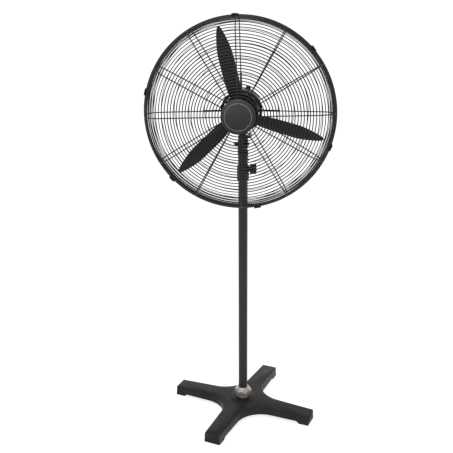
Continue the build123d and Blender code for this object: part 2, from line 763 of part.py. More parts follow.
def make_speed_knob():
    y0 = COVER_REAR + CLEAR
    body = rod(15, (SPEED_X, y0, SPEED_Z), (SPEED_X, y0 + 6, SPEED_Z))
    body += rod(12, (SPEED_X, y0 + 6, SPEED_Z), (SPEED_X, y0 + 12, SPEED_Z))
    body += block(SPEED_X - 3, SPEED_X + 3, y0 + 6, y0 + 18, SPEED_Z - 12, SPEED_Z + 12)
    return body + rod(3, (SPEED_X, COVER_REAR - COVER_WALL + CLEAR, SPEED_Z), (SPEED_X, y0, SPEED_Z))


# ---- guards -------------------------------------------------------------------------

PAN_DEPTH = PAN_ELBOW_R * (1 - cos(radians(PAN_ELBOW)))
REAR_EDGE_Y = RIM_Y + EDGE_WIRE_R + BAND_DEPTH + EDGE_WIRE_R + 0.6
REAR_CENTRE = EDGE_R - REAR_ELBOW_R


def pan_point(run, lift=0.0):
    """(radius, y) on the front guard at a distance from its axis measured along the profile."""
    if run <= PAN_FLAT_R:
        return run, RIM_Y - PAN_DEPTH - lift
    a = (run - PAN_FLAT_R) / PAN_ELBOW_R
    r = PAN_FLAT_R + (PAN_ELBOW_R + lift) * sin(a)
    return r, RIM_Y - PAN_DEPTH + PAN_ELBOW_R - (PAN_ELBOW_R + lift) * cos(a)


def bowl_point(turn, lift=0.0):
    """(radius, y) on the rear guard's shoulder, turn in degrees from its edge."""
    a = radians(turn)
    radius = REAR_ELBOW_R + lift
    return REAR_CENTRE + radius * cos(a), REAR_EDGE_Y + radius * sin(a)


def cone_y(radius, lift=0.0):
    """y of the rear guard's cone at a radius."""
    r_end, y_end = bowl_point(REAR_ELBOW, lift)
    return y_end + (r_end - radius) / tan(radians(REAR_ELBOW))


PLATE_FRONT = cone_y(PLATE_R) - RIB_WIRE_R - 2.0
PLATE_BACK = PLATE_FRONT + 2.0


def spatial(points):
    return [(r, y, HEAD_Z) for r, y in points]


def front_rings(first, end):
    return [wire_ring(*pan_point(FIRST_RING + k * RING_PITCH), RING_WIRE_R) for k in range(first, end)]


def make_front_inner_rings():
    return front_rings(0, INNER_RING_COUNT)


def make_front_guard():
    wires = front_rings(INNER_RING_COUNT, RING_COUNT)
    wires.append(wire_ring(EDGE_R, RIM_Y, EDGE_WIRE_R))
    lift = RING_WIRE_R + RIB_WIRE_R
    last = PAN_FLAT_R + PAN_ELBOW_R * radians(PAN_ELBOW) * 0.9
    middle = (PAN_FLAT_R + last) / 2
    inner, bend, mid, end = spatial([pan_point(50, lift), pan_point(PAN_FLAT_R, lift),
                                     pan_point(middle, lift), pan_point(last, lift)])
    path = Wire([Line(inner, bend), ThreePointArc(bend, mid, end)])
    rib = wire_along(path, RIB_WIRE_R)
    wires += [around_head(rib, FRONT_RIB_TURN + 360 * k / RIB_COUNT) for k in range(RIB_COUNT)]
    return wires + [centre_disc()]


def make_rim_band():
    y0 = RIM_Y + EDGE_WIRE_R + 0.2
    y1 = y0 + BAND_DEPTH
    inner, wall = RIM_R - RIM_WIDTH, 1.5
    return turned_head([(inner, y0), (RIM_R - 2, y0), (RIM_R, y0 + 2), (RIM_R, y1 - 2), (RIM_R - 2, y1),
                        (inner, y1), (inner, y1 - wall), (RIM_R - wall - 1, y1 - wall),
                        (RIM_R - wall - 1, y0 + wall), (inner, y0 + wall)])


def make_rear_guard():
    wires = [wire_ring(EDGE_R, REAR_EDGE_Y, EDGE_WIRE_R)]
    lift = RING_WIRE_R + RIB_WIRE_R
    for k in range(1, SIDE_RING_COUNT + 1):
        turn = degrees(k * SIDE_RING_PITCH / REAR_ELBOW_R)
        wires.append(wire_ring(*bowl_point(turn, -lift), RING_WIRE_R))
    for radius in REAR_RINGS:
        wires.append(wire_ring(radius, cone_y(radius) - lift, RING_WIRE_R))
    start_turn = degrees((EDGE_WIRE_R + RIB_WIRE_R) / REAR_ELBOW_R) * 0.55
    start, mid, bend = spatial([bowl_point(start_turn), bowl_point(REAR_ELBOW / 2),
                                bowl_point(REAR_ELBOW)])
    inner = (PLATE_R - 8, cone_y(PLATE_R - 8), HEAD_Z)
    path = Wire([ThreePointArc(start, mid, bend), Line(bend, inner)])
    rib = wire_along(path, RIB_WIRE_R)
    wires += [around_head(rib, REAR_RIB_TURN + 360 * k / RIB_COUNT) for k in range(RIB_COUNT)]
    return wires + struts()


def struts():
    r0, r1 = PLATE_R - 6, STRUT_RING + 4
    strut = block(r0, r1, -1.2, 1.2, HEAD_Z - 3.8, HEAD_Z + 3.8)
    tilt = degrees(asin((cone_y(r0) - cone_y(r1)) / (r1 - r0)))
    strut = Pos(0, (cone_y(r0) + cone_y(r1)) / 2 + RIB_WIRE_R + 1.4, 0) * strut
    pivot = Axis(((r0 + r1) / 2, (cone_y(r0) + cone_y(r1)) / 2 + RIB_WIRE_R + 1.4, HEAD_Z), (0, 0, 1))
    strut = strut.rotate(pivot, -tilt)
    return [around_head(strut, REAR_RIB_TURN + 90 * k) for k in range(4)]


def make_rear_plate():
    body = tube(PLATE_R, 22, head_point(0, PLATE_FRONT), head_point(0, PLATE_BACK))
    rim = tube(PLATE_R, PLATE_R - 2, head_point(0, PLATE_FRONT - 4), head_point(0, PLATE_FRONT))
    body += rim
    for k in range(12):
        for radius, width in ((66.0, 5.0), (56.0, 5.0)):
            slot = arc_slot(radius, width, 19.0)
            body -= around_head(slot, REAR_RIB_TURN + 15 + 30 * k)
    for k in range(4):
        body -= head_rod(2, PLATE_FRONT - 1, PLATE_BACK + 1, 36, 90 * k)
    return body


def arc_slot(radius, width, sweep_deg):
    ring = tube(radius + width / 2, radius - width / 2, head_point(0, PLATE_FRONT - 1),
                head_point(0, PLATE_BACK + 1))
    far = 2 * radius
    half = radians(sweep_deg / 2)
    wedge = make_face(Polyline((0, 0, HEAD_Z), (far * cos(half), 0, HEAD_Z + far * sin(half)),
                               (far * cos(half), 0, HEAD_Z - far * sin(half)), close=True))
    wedge = extrude(Pos(0, PLATE_FRONT - 5, 0) * wedge, 10, dir=(0, 1, 0))
    return ring & wedge


def make_plate_screws():
    screws = []
    for k in range(4):
        shank = head_rod(2, PLATE_FRONT, MOTOR_FRONT + 6, 36, 90 * k)
        screws.append(shank + head_rod(4, PLATE_FRONT - 2.4, PLATE_FRONT, 36, 90 * k))
    return screws


def badge_back():
    return RIM_Y - PAN_DEPTH - RING_WIRE_R - 2 * RIB_WIRE_R - 0.1


def centre_disc():
    y1 = RIM_Y - PAN_DEPTH - RING_WIRE_R + 0.1
    body = head_rod(60, y1, y1 + 1.5) - head_rod(3, y1 - 1, y1 + 3)
    for k in range(3):
        body -= head_rod(2, y1 - 1, y1 + 3, 26, 30 + 120 * k)
    return body


def make_badge():
    y = badge_back()
    body = turned_head([(0, y - 9), (20, y - 8.6), (42, y - 7.2), (56, y - 5.2), (62.5, y - 3.4),
                        (BADGE_R, y - 1.6), (BADGE_R, y), (0, y)])
    for k in range(3):
        y1 = RIM_Y - PAN_DEPTH - RING_WIRE_R
        body += head_rod(5, y, y1, 26, 30 + 120 * k)
        body -= head_rod(2, y - 3, y1, 26, 30 + 120 * k)
    return body


def make_badge_screws():
    y1 = RIM_Y - PAN_DEPTH - RING_WIRE_R + 1.6
    screws = []
    for k in range(3):
        shank = head_rod(2, badge_back() - 3, y1, 26, 30 + 120 * k)
        screws.append(shank + head_rod(4, y1, y1 + 2.4, 26, 30 + 120 * k))
    return screws


def make_guard_clips():
    y_front = RIM_Y - EDGE_WIRE_R - 0.3
    y_rear = REAR_EDGE_Y + EDGE_WIRE_R + 0.3
    r0, r1 = RIM_R + 0.3, RIM_R + 2.8
    half = CLIP_WIDTH / 2
    strap = block(r0, r1, y_front - 2, y_rear + 2, HEAD_Z - half, HEAD_Z + half)
    for side in (-1, 1):
        low, high = sorted((side * 7.5, side * half))
        strap += block(EDGE_R - 1, r1, y_front - 2, y_front, HEAD_Z + low, HEAD_Z + high)
    strap += block(EDGE_R - 1, r1, y_rear, y_rear + 2, HEAD_Z + 2, HEAD_Z + half)
    y_mid = (y_front + y_rear) / 2
    wedge = make_face(Polyline((r1, y_mid - 7, HEAD_Z - 9), (r1 + 2.2, y_mid - 7, HEAD_Z + 7),
                               (r1, y_mid - 7, HEAD_Z + 9), close=True))
    strap += extrude(wedge, 14, dir=(0, 1, 0))
    return [around_head(strap, angle) for angle in CLIP_ANGLES]


# ---- write one file per piece -------------------------------------------------------

PIECES = {
    "base_casting": make_base_casting,
    "foot_pads": make_foot_pads,
    "base_socket": make_base_socket,
    "lock_nut": make_lock_nut,
    "lock_nut_screw": make_lock_nut_screw,
    "base_washer": make_base_washer,
    "base_bolt": make_base_bolt,
    "pole_plug": make_pole_plug,
    "lower_pole": make_lower_pole,
    "clamp_sleeve": make_clamp_sleeve,
    "guide_bush": make_guide_bush,
    "height_knob": make_height_knob,
    "height_knob_stud": make_height_knob_stud,
    "inner_tube": make_inner_tube,
    "tube_glide": make_tube_glide,
    "neck_casting": make_neck_casting,
    "neck_screw": make_neck_screw,
    "tilt_bolt": make_tilt_bolt,
    "tilt_lever": make_tilt_lever,
    "tilt_bracket": make_tilt_bracket,
    "swivel_bush": make_swivel_bush,
    "ear_pin": make_ear_pin,
    "link_bar": make_link_bar,
    "crank": make_crank,
    "crank_gear": make_crank_gear,
    "worm_wheel": make_worm_wheel,
    "motor_housing": make_motor_housing,
    "swivel_pin": make_swivel_pin,
    "motor_front_shield": make_motor_front_shield,
    "motor_rear_shield": make_motor_rear_shield,
    "shield_screws": make_shield_screws,
    "shaft_bearings": make_shaft_bearings,
    "stator_core": make_stator_core,
    "stator_windings": make_stator_windings,
    "motor_shaft": make_motor_shaft,
    "rotor_core": make_rotor_core,
    "blade_hub": make_blade_hub,
    "blade_1": lambda: make_blade(0),
    "blade_2": lambda: make_blade(1),
    "blade_3": lambda: make_blade(2),
    "blade_rivets": make_blade_rivets,
    "hub_set_screw": make_hub_set_screw,
    "gearbox_case": make_gearbox_case,
    "gearbox_lid": make_gearbox_lid,
    "rear_cover": make_rear_cover,
    "cover_screws": make_cover_screws,
    "capacitor": make_capacitor,
    "speed_switch": make_speed_switch,
    "cord_gland": make_cord_gland,
    "swing_knob": make_swing_knob,
    "speed_knob": make_speed_knob,
    "rear_plate": make_rear_plate,
    "plate_screws": make_plate_screws,
    "rear_guard": make_rear_guard,
    "rim_band": make_rim_band,
    "front_inner_rings": make_front_inner_rings,
    "front_guard": make_front_guard,
    "badge": make_badge,
    "badge_screws": make_badge_screws,
    "guard_clips": make_guard_clips,
}


def main():
    os.makedirs("parts", exist_ok=True)
    for name, make in PIECES.items():
        shape = make()
        if isinstance(shape, list):
            solids = [solid for piece in shape for solid in piece.solids()]
            shape = Compound(children=solids)
        shape.label = name
        export_step(shape, f"parts/{name}.step")


main()
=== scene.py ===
from math import asin, cos, degrees, pi, radians, sin

import bpy
from mathutils import Matrix, Vector


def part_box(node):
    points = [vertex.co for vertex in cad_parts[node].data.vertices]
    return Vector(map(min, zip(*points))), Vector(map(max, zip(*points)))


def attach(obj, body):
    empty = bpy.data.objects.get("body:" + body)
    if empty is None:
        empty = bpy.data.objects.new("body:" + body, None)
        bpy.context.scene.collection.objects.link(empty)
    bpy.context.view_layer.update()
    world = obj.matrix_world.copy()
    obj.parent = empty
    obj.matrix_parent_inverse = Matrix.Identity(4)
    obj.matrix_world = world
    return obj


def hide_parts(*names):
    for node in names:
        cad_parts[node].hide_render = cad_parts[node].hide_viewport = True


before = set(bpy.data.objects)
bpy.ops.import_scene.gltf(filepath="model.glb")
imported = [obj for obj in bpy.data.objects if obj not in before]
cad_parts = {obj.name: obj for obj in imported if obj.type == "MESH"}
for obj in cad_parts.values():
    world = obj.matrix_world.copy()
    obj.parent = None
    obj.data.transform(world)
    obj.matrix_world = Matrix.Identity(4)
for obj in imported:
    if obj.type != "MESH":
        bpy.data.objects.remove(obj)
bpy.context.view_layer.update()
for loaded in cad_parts.values():
    loaded.select_set(False)


# ---- studio -------------------------------------------------------------------------
# Not part of the fan: a pale glowing floor that runs up into a wall, soft light from all
# round, a large soft lamp above, and a weaker one in front on the left.

class Signal:
    """One output of a shader node; sums and products of signals add their Math nodes."""

    def __init__(self, finish, socket):
        self.finish, self.socket = finish, socket

    def _math(self, operation, first, second):
        return self.finish.node("ShaderNodeMath", {"operation": operation}, {0: first, 1: second})

    def __add__(self, other):
        return self._math("ADD", self, other)

    def __sub__(self, other):
        return self._math("SUBTRACT", self, other)

    def __rsub__(self, other):
        return self._math("SUBTRACT", other, self)

    def __mul__(self, other):
        return self._math("MULTIPLY", self, other)

    def __gt__(self, other):
        return self._math("GREATER_THAN", self, other)

    __radd__, __rmul__ = __add__, __mul__


class Finish:
    """One material: its Principled shader with plain numbers, and nodes added by name."""

    def __init__(self, name, colour, roughness, metallic=0.0, **numbers):
        self.material = bpy.data.materials.new(name)
        self.material.use_nodes = True
        self.material.diffuse_color = (*colour, 1)
        self.tree = self.material.node_tree
        self.shader = self.tree.nodes["Principled BSDF"]
        self.colour, self.roughness = colour, roughness
        self.feed(self.shader.inputs["Base Color"], (*colour, 1))
        self.feed(self.shader.inputs["Roughness"], roughness)
        self.feed(self.shader.inputs["Metallic"], metallic)
        for words, number in numbers.items():
            self.shader.inputs[words.replace("_", " ")].default_value = number
        self.place = self.node("ShaderNodeTexCoord", output="Object")

    def feed(self, socket, value):
        if isinstance(value, Signal):
            self.tree.links.new(value.socket, socket)
        else:
            socket.default_value = value

    def node(self, kind, settings=None, inputs=None, output=0):
        made = self.tree.nodes.new(kind)
        for word, value in (settings or {}).items():
            if word == "stops":
                for k, (at, shade) in enumerate(value):
                    stops = made.color_ramp.elements
                    stop = stops[k] if k < 2 else stops.new(at)
                    stop.position, stop.color = at, shade
            else:
                setattr(made, word, value)
        for socket, value in (inputs or {}).items():
            self.feed(made.inputs[socket], value)
        return Signal(self, made.outputs[output])

    def noise(self, scale, detail=3.0, rough=0.5, place=None):
        return self.node("ShaderNodeTexNoise", {"noise_dimensions": "3D"},
                         {"Vector": place or self.place, "Scale": scale, "Detail": detail,
                          "Roughness": rough})

    def stretched(self, x, y, z):
        return self.node("ShaderNodeMapping", {}, {"Vector": self.place, "Scale": (x, y, z)})

    def clamp(self, value, low, high, to_low=0.0, to_high=1.0):
        return self.node("ShaderNodeMapRange", {"clamp": True},
                         {"Value": value, "From Min": low, "From Max": high,
                          "To Min": to_low, "To Max": to_high})

    def mix(self, share, first, second):
        made = self.tree.nodes.new("ShaderNodeMix")
        made.data_type = "RGBA"
        self.feed(made.inputs["Factor"], share)
        self.feed(made.inputs[6], first)
        self.feed(made.inputs[7], second)
        return Signal(self, made.outputs[2])

    def set(self, **values):
        for words, value in values.items():
            self.feed(self.shader.inputs[words.replace("_", " ")], value)
        return self

    def bump(self, height, depth, strength=1.0):
        made = self.node("ShaderNodeBump", {}, {"Height": height, "Distance": depth,
                                                "Strength": strength}, "Normal")
        self.feed(self.shader.inputs["Normal"], made)
        return self


def edit(piece):
    """Leave edit mode, and open this piece in it with nothing selected."""
    if bpy.context.object and bpy.context.object.mode == "EDIT":
        bpy.ops.object.mode_set(mode="OBJECT")
    pick(piece)
    bpy.ops.object.mode_set(mode="EDIT")
    bpy.ops.mesh.select_all(action="DESELECT")


def done():
    bpy.ops.object.mode_set(mode="OBJECT")
    return bpy.context.object


def pick(*pieces):
    bpy.ops.object.select_all(action="DESELECT")
    for piece in pieces:
        piece.select_set(True)
    bpy.context.view_layer.objects.active = pieces[0]


STUDIO_PAPER = (0.42, 0.42, 0.42)
PAPER_GLOW, ROOM_LIGHT = 0.78, 0.60
bpy.ops.mesh.primitive_plane_add(size=1)
studio_floor = bpy.context.object
studio_floor.name = "studio_floor"
edit(studio_floor)
bpy.ops.mesh.select_all(action="SELECT")
bpy.ops.transform.resize(value=(24, 14, 1))
bpy.ops.mesh.select_all(action="DESELECT")
done()
for edge in studio_floor.data.edges:
    ends = [studio_floor.data.vertices[v].co.y for v in edge.vertices]
    edge.select = min(ends) > 1
bpy.ops.object.mode_set(mode="EDIT")
bpy.ops.mesh.select_mode(type="EDGE")
bpy.ops.mesh.extrude_region_move(TRANSFORM_OT_translate={"value": (0, 0, 12)})
done()
bpy.ops.object.modifier_add(type="BEVEL")
studio_floor.modifiers[0].width = 3.0
studio_floor.modifiers[0].segments = 16
bpy.ops.object.modifier_apply(modifier=studio_floor.modifiers[0].name)
bpy.ops.object.shade_smooth()
studio_paper = Finish("studio_paper", STUDIO_PAPER, 0.9, Specular_IOR_Level=0.1)
studio_paper.shader.inputs["Emission Color"].default_value = (1, 1, 1, 1)
studio_paper.shader.inputs["Emission Strength"].default_value = PAPER_GLOW
studio_floor.data.materials.append(studio_paper.material)

room = bpy.data.worlds.new("room")
room.use_nodes = True
room.node_tree.nodes["Background"].inputs["Color"].default_value = (1, 1, 1, 1)
room.node_tree.nodes["Background"].inputs["Strength"].default_value = ROOM_LIGHT
bpy.context.scene.world = room
bpy.context.scene.view_settings.view_transform = "Standard"


def soft_lamp(name, place, aim, width, height, power):
    bpy.ops.object.light_add(type="AREA", location=place)
    lamp = bpy.context.object
    lamp.name = name
    lamp.data.shape = "RECTANGLE"
    lamp.data.size, lamp.data.size_y, lamp.data.energy = width, height, power
    lamp.rotation_euler = (Vector(aim) - Vector(place)).to_track_quat("-Z", "Y").to_euler()


soft_lamp("overhead_lamp", (-0.4, -0.8, 4.2), (0, 0, 0.8), 2.2, 2.2, 60)
soft_lamp("front_strip", (-1.5, -3.4, 2.2), (0, 0, 0.9), 1.4, 2.2, 14)

VIEW_TILT, VIEW_TURN, VIEW_ROLL = radians(18.0), radians(-6.33), radians(-0.416)
VIEW_PLACE, VIEW_LENS = (0.2563, -2.9245, 1.7931), 59.77
bpy.ops.object.camera_add(location=VIEW_PLACE)
camera = bpy.context.object
ahead = Vector((sin(VIEW_TURN) * cos(VIEW_TILT), cos(VIEW_TURN) * cos(VIEW_TILT),
                -sin(VIEW_TILT)))
right = ahead.cross(Vector((0, 0, 1))).normalized()
up = right.cross(ahead)
right, up = (cos(VIEW_ROLL) * right + sin(VIEW_ROLL) * up,
             cos(VIEW_ROLL) * up - sin(VIEW_ROLL) * right)
camera.rotation_euler = Matrix((right, up, -ahead)).transposed().to_euler()
camera.data.lens = VIEW_LENS
camera.data.sensor_width = 36.0
bpy.context.scene.camera = camera


# ---- base casting -------------------------------------------------------------------
# One grey-iron casting: four drafted legs that run into a round boss, hollow below.
# It is sprayed with black enamel, which leaves a faint orange peel and soft edges.

def easing(piece, width, segments=2, angle=32.0):
    """Round the sharp edges of a finished mesh and shade it smooth."""
    pick(piece)
    if width:
        bpy.ops.object.modifier_add(type="BEVEL")
        edge = piece.modifiers[-1]
        edge.width, edge.segments, edge.limit_method = width, segments, "ANGLE"
        edge.angle_limit = radians(angle)
        edge.use_clamp_overlap = True
        bpy.ops.object.modifier_apply(modifier=edge.name)
    bpy.ops.object.shade_smooth_by_angle(angle=radians(angle))
    return piece


def eased_copy(name, node, width, segments=2, angle=32.0):
    """A merged copy of a CAD node with its edges rounded, to stand for that node."""
    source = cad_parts[node]
    piece = bpy.data.objects.new(name, source.data.copy())
    bpy.context.scene.collection.objects.link(piece)
    edit(piece)
    bpy.ops.mesh.select_all(action="SELECT")
    bpy.ops.mesh.remove_doubles(threshold=0.00002)
    bpy.ops.mesh.dissolve_limited(angle_limit=radians(0.8))
    done()
    piece.data.materials.clear()
    easing(piece, width, segments, angle)
    return piece


def fit(piece, body, slot, finish, *nodes):
    """Give a finished piece its material and body, and hide the CAD nodes it stands for. The slot
    argument is not used.
    """
    pick(piece)
    bpy.ops.object.transform_apply(location=True, rotation=True, scale=True)
    piece.data.materials.clear()
    piece.data.materials.append(finish.material)
    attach(piece, body)
    if nodes:
        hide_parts(*nodes)
    return piece


def repaint(finish, *nodes):
    """Put a finish on CAD nodes that stay as they are."""
    for node in nodes:
        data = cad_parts[node].data
        if data.materials:
            for k in range(len(data.materials)):
                data.materials[k] = finish.material
        else:
            data.materials.append(finish.material)


cast_enamel = Finish("cast_enamel", (0.014, 0.013, 0.0122), 0.38, Specular_IOR_Level=0.16)
peel = cast_enamel.noise(260.0, 2.0, 0.45)
swell = cast_enamel.noise(38.0, 3.0, 0.5)
dust = cast_enamel.clamp(cast_enamel.noise(9.0, 4.0, 0.6), 0.42, 0.70)
cast_enamel.set(
    Base_Color=cast_enamel.mix(dust * 0.55, (0.0100, 0.0092, 0.0083, 1),
                               (0.028, 0.0255, 0.0232, 1)),
    Roughness=cast_enamel.clamp(swell, 0.3, 0.7, 0.36, 0.50))
cast_enamel.bump(peel * 0.35 + swell, 0.0006, 0.55)
base_piece = eased_copy("cast_cross_base", "base_casting", 0.0, angle=28.0)
fit(base_piece, "base", "base_paint", cast_enamel, "base_casting")


# ---- foot pads ----------------------------------------------------------------------
# Four black rubber discs pressed into recesses under the feet; they carry the fan.
# Moulded with a rounded lower edge and a slight texture.

pad_rubber = Finish("pad_rubber", (0.018, 0.018, 0.018), 0.78)
pad_rubber.set(Roughness=pad_rubber.clamp(pad_rubber.noise(420.0), 0.3, 0.7, 0.70, 0.88))
pad_rubber.bump(pad_rubber.noise(1500.0, 2.0), 0.0002, 0.5)
pads_piece = eased_copy("rubber_foot_pads", "foot_pads", 0.0012, 3)
fit(pads_piece, "base", "rubber", pad_rubber, "foot_pads")


# ---- socket, lock nut and the hardware under the base --------------------------------
# The socket is a chromed steel tube that stands in the boss, and the hexagonal nut on
# it has a turned, bevelled top and a warmer, duller plate. A washer and bolt below pull
# the pole down to the base.

bright_chrome = Finish("bright_chrome", (0.74, 0.73, 0.72), 0.14, 1.0)
drawn = bright_chrome.noise(60.0, 3.0, 0.5, bright_chrome.stretched(1, 1, 14))
bright_chrome.set(
    Base_Color=bright_chrome.mix(bright_chrome.clamp(drawn, 0.35, 0.75),
                                 (0.78, 0.77, 0.76, 1), (0.62, 0.60, 0.59, 1)),
    Roughness=bright_chrome.clamp(drawn, 0.3, 0.7, 0.10, 0.22))
bright_chrome.bump(drawn, 0.0001, 0.3)

zinc_steel = Finish("zinc_steel", (0.52, 0.52, 0.53), 0.34, 1.0)
spangle = zinc_steel.noise(180.0, 4.0, 0.6)
zinc_steel.set(
    Base_Color=zinc_steel.mix(zinc_steel.clamp(spangle, 0.35, 0.7),
                              (0.56, 0.56, 0.57, 1), (0.40, 0.40, 0.40, 1)),
    Roughness=zinc_steel.clamp(spangle, 0.3, 0.7, 0.26, 0.42))
zinc_steel.bump(spangle, 0.0002, 0.3)


def lathe(name, outline, sides=72, centre=(0, 0, 0), tip=(0, 0, 0)):
    """A closed turned piece: a ring of its first (radius, height) is extruded and scaled
    through the rest and back to the first. tip turns the axis from +Z afterwards."""
    pick_none()
    r0, h0 = outline[0]
    bpy.ops.mesh.primitive_circle_add(vertices=sides, radius=r0, location=(0, 0, h0))
    piece = bpy.context.object
    piece.name = name
    bpy.ops.object.transform_apply(location=True, rotation=True, scale=True)
    edit(piece)
    bpy.ops.mesh.select_all(action="SELECT")
    radius, height = r0, h0
    for r, h in [*outline[1:], outline[0]]:
        bpy.ops.mesh.extrude_region_move(TRANSFORM_OT_translate={"value": (0, 0, h - height)})
        share = max(r, 1e-7) / radius
        bpy.ops.transform.resize(value=(share, share, 1), center_override=(0, 0, h))
        radius, height = max(r, 1e-7), h
    bpy.ops.mesh.select_all(action="SELECT")
    bpy.ops.mesh.remove_doubles(threshold=0.000004)
    bpy.ops.mesh.normals_make_consistent(inside=False)
    done()
    piece.location, piece.rotation_euler = centre, tip
    bpy.ops.object.transform_apply(location=True, rotation=True, scale=True)
    return piece


def pick_none():
    if bpy.context.object and bpy.context.object.mode == "EDIT":
        bpy.ops.object.mode_set(mode="OBJECT")
    bpy.ops.object.select_all(action="DESELECT")


socket_low, socket_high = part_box("base_socket")
socket_r = (socket_high.x - socket_low.x) / 2
pole_low, pole_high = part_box("lower_pole")
pole_r = (pole_high.x - pole_low.x) / 2
TUBE_WALL = 0.002
socket_piece = lathe("chrome_socket", [
    (socket_r - 0.001, socket_low.z), (socket_r, socket_low.z + 0.001),
    (socket_r, socket_high.z - 0.001), (socket_r - 0.001, socket_high.z),
    (pole_r, socket_high.z), (pole_r, socket_low.z + 0.0125), (0.0065, socket_low.z + 0.0125),
    (0.0065, socket_low.z)])
easing(socket_piece, 0)
satin_plate = Finish("satin_plate", (0.42, 0.42, 0.47), 0.36, 0.35, Specular_IOR_Level=0.7)
streak = satin_plate.noise(70.0, 3.0, 0.5, satin_plate.stretched(1, 1, 12))
satin_plate.set(
    Base_Color=satin_plate.mix(satin_plate.clamp(streak, 0.35, 0.75),
                               (0.46, 0.46, 0.52, 1), (0.34, 0.33, 0.37, 1)),
    Roughness=satin_plate.clamp(streak, 0.3, 0.7, 0.30, 0.42))
satin_plate.bump(streak, 0.0001, 0.3)
fit(socket_piece, "base", "chrome", satin_plate, "base_socket")

nut_piece = eased_copy("bevelled_lock_nut", "lock_nut", 0.0009, 2)
nut_plate = Finish("nut_plate", (0.50, 0.46, 0.44), 0.34, 0.75)
blush = nut_plate.noise(90.0, 4.0, 0.6)
nut_plate.set(
    Base_Color=nut_plate.mix(nut_plate.clamp(blush, 0.35, 0.7),
                             (0.58, 0.54, 0.52, 1), (0.36, 0.31, 0.28, 1)),
    Roughness=nut_plate.clamp(blush, 0.3, 0.7, 0.26, 0.42))
nut_plate.bump(blush, 0.0003, 0.5)
fit(nut_piece, "base", "chrome", nut_plate, "lock_nut")
repaint(zinc_steel, "lock_nut_screw", "base_washer", "base_bolt", "pole_plug", "height_knob_stud",
        "tilt_bolt", "ear_pin", "link_bar", "crank", "swivel_pin", "shaft_bearings",
        "motor_shaft", "hub_set_screw", "cover_screws", "badge_screws")


# ---- lower pole ---------------------------------------------------------------------
# A 38 mm steel tube with a 2 mm wall, powder coated satin black. The coat has a very
# fine grain and the slow ripple of the drawn tube below it.

tube_powder = Finish("tube_powder", (0.019, 0.0182, 0.0178), 0.34, Specular_IOR_Level=0.25)
ripple = tube_powder.noise(16.0, 2.0, 0.5, tube_powder.stretched(1, 1, 0.35))
grit = tube_powder.noise(900.0, 2.0)
tube_powder.set(
    Base_Color=tube_powder.mix(tube_powder.clamp(ripple, 0.35, 0.7),
                               (0.016, 0.0153, 0.015, 1), (0.023, 0.0218, 0.0212, 1)),
    Roughness=tube_powder.clamp(ripple, 0.3, 0.7, 0.35, 0.45))
tube_powder.bump(grit * 0.4 + ripple, 0.0003, 0.35)
pole_piece = lathe("pole_tube", [
    (pole_r, pole_low.z), (pole_r, pole_low.z + 0.35), (pole_r, pole_low.z + 0.7),
    (pole_r, pole_high.z - 0.0006), (pole_r - 0.0006, pole_high.z),
    (pole_r - TUBE_WALL, pole_high.z), (pole_r - TUBE_WALL, pole_low.z)], 96)
easing(pole_piece, 0)
fit(pole_piece, "base", "tube_paint", tube_powder, "lower_pole")


# ---- height clamp -------------------------------------------------------------------
# A cast collar over the pole's top with a boss for the clamp screw, a nylon bush inside
# it, and a moulded six-lobed knob on the screw.

satin_casting = Finish("satin_casting", (0.013, 0.0125, 0.012), 0.44, Specular_IOR_Level=0.18)
pebble = satin_casting.noise(420.0, 3.0, 0.55)
satin_casting.set(
    Base_Color=satin_casting.mix(satin_casting.clamp(satin_casting.noise(24.0), 0.35, 0.7),
                                 (0.011, 0.0105, 0.010, 1), (0.018, 0.017, 0.0165, 1)),
    Roughness=satin_casting.clamp(pebble, 0.3, 0.7, 0.38, 0.52))
satin_casting.bump(pebble, 0.0004, 0.5)
sleeve_piece = eased_copy("clamp_collar", "clamp_sleeve", 0.0008, 2)
fit(sleeve_piece, "base", "neck_paint", satin_casting, "clamp_sleeve")

white_nylon = Finish("white_nylon", (0.70, 0.69, 0.64), 0.46, Subsurface_Weight=0.1)
white_nylon.set(Roughness=white_nylon.clamp(white_nylon.noise(300.0), 0.3, 0.7, 0.40, 0.52))
white_nylon.bump(white_nylon.noise(700.0), 0.0001, 0.3)
repaint(white_nylon, "guide_bush", "tube_glide", "crank_gear", "worm_wheel")

knob_plastic = Finish("knob_plastic", (0.010, 0.010, 0.010), 0.50, Specular_IOR_Level=0.2)
spark = knob_plastic.noise(1400.0, 3.0, 0.6)
knob_plastic.set(Roughness=knob_plastic.clamp(spark, 0.3, 0.7, 0.42, 0.60))
knob_plastic.bump(spark, 0.00025, 0.5)
knob_piece = eased_copy("height_star_knob", "height_knob", 0.0009, 3)
fit(knob_piece, "clamp_knob", "knob_plastic", knob_plastic, "height_knob")


# ---- inner tube ---------------------------------------------------------------------
# A 28 mm chromed tube that slides in the pole. Only a ring of it shows when it is down.

tube_low, tube_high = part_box("inner_tube")
tube_r = (tube_high.x - tube_low.x) / 2
inner_piece = lathe("chromed_inner_tube", [
    (tube_r, tube_low.z), (tube_r, tube_low.z + 0.24), (tube_r, tube_high.z),
    (tube_r - TUBE_WALL, tube_high.z), (tube_r - TUBE_WALL, tube_low.z)])
easing(inner_piece, 0)
fit(inner_piece, "mast", "chrome", bright_chrome, "inner_tube")


# ---- neck, tilt lever and tilt bracket ----------------------------------------------
# Cast pieces in the same black enamel: the neck with its slotted clevis, the bracket
# that tilts in it on a bolt, and the lever that clamps them.

neck_piece = eased_copy("neck_with_clevis", "neck_casting", 0.0008, 2)
fit(neck_piece, "mast", "neck_paint", satin_casting, "neck_casting")
lever_piece = eased_copy("tilt_clamp_lever", "tilt_lever", 0.0006, 2)
fit(lever_piece, "tilt_handle", "neck_paint", satin_casting, "tilt_lever")
bracket_piece = eased_copy("tilting_bracket", "tilt_bracket", 0.0007, 2)
fit(bracket_piece, "tilt_head", "neck_paint", satin_casting, "tilt_bracket")

